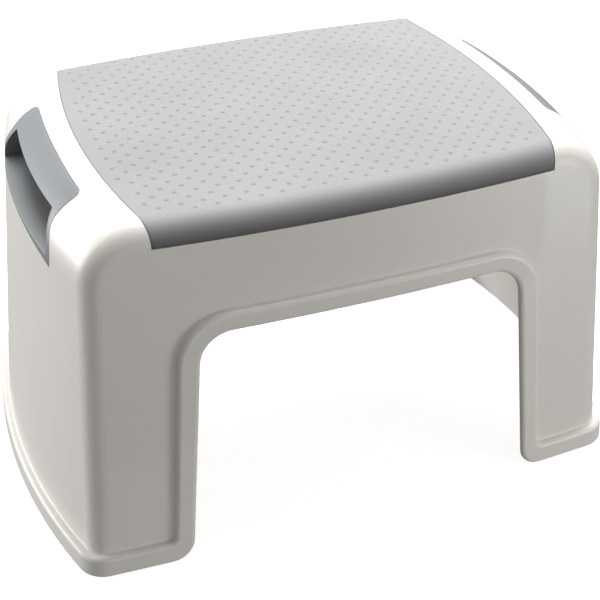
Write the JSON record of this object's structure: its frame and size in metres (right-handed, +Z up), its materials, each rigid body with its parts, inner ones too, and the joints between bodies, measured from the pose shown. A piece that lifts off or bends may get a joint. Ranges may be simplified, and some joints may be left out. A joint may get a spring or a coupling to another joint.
{
  "type": "step stool",
  "caption": "One-step moulded plastic household stool with arched sides, a soft non-slip tread mat and a hand grip in each end.",
  "frame": {"origin": "on the floor under the centre of the tread", "axes": "+X along the long side, from grip to grip; the front arch faces -Y; +Z up"},
  "size_m": [0.4074, 0.2724, 0.23],
  "materials": {
    "shell_white": "satin white moulded polypropylene",
    "mat_grey": "matt light grey thermoplastic elastomer with small dimples",
    "grip_grey": "fine-textured light grey moulded plastic",
    "pad_rubber": "matt grey rubber"
  },
  "bodies": {
    "root": {"body_shell": "shell_white", "tread_mat": "mat_grey", "grip_insert_left": "grip_grey", "grip_insert_right": "grip_grey", "foot_pad_front_left": "pad_rubber", "foot_pad_front_right": "pad_rubber", "foot_pad_rear_left": "pad_rubber", "foot_pad_rear_right": "pad_rubber"}
  },
  "joints": []
}
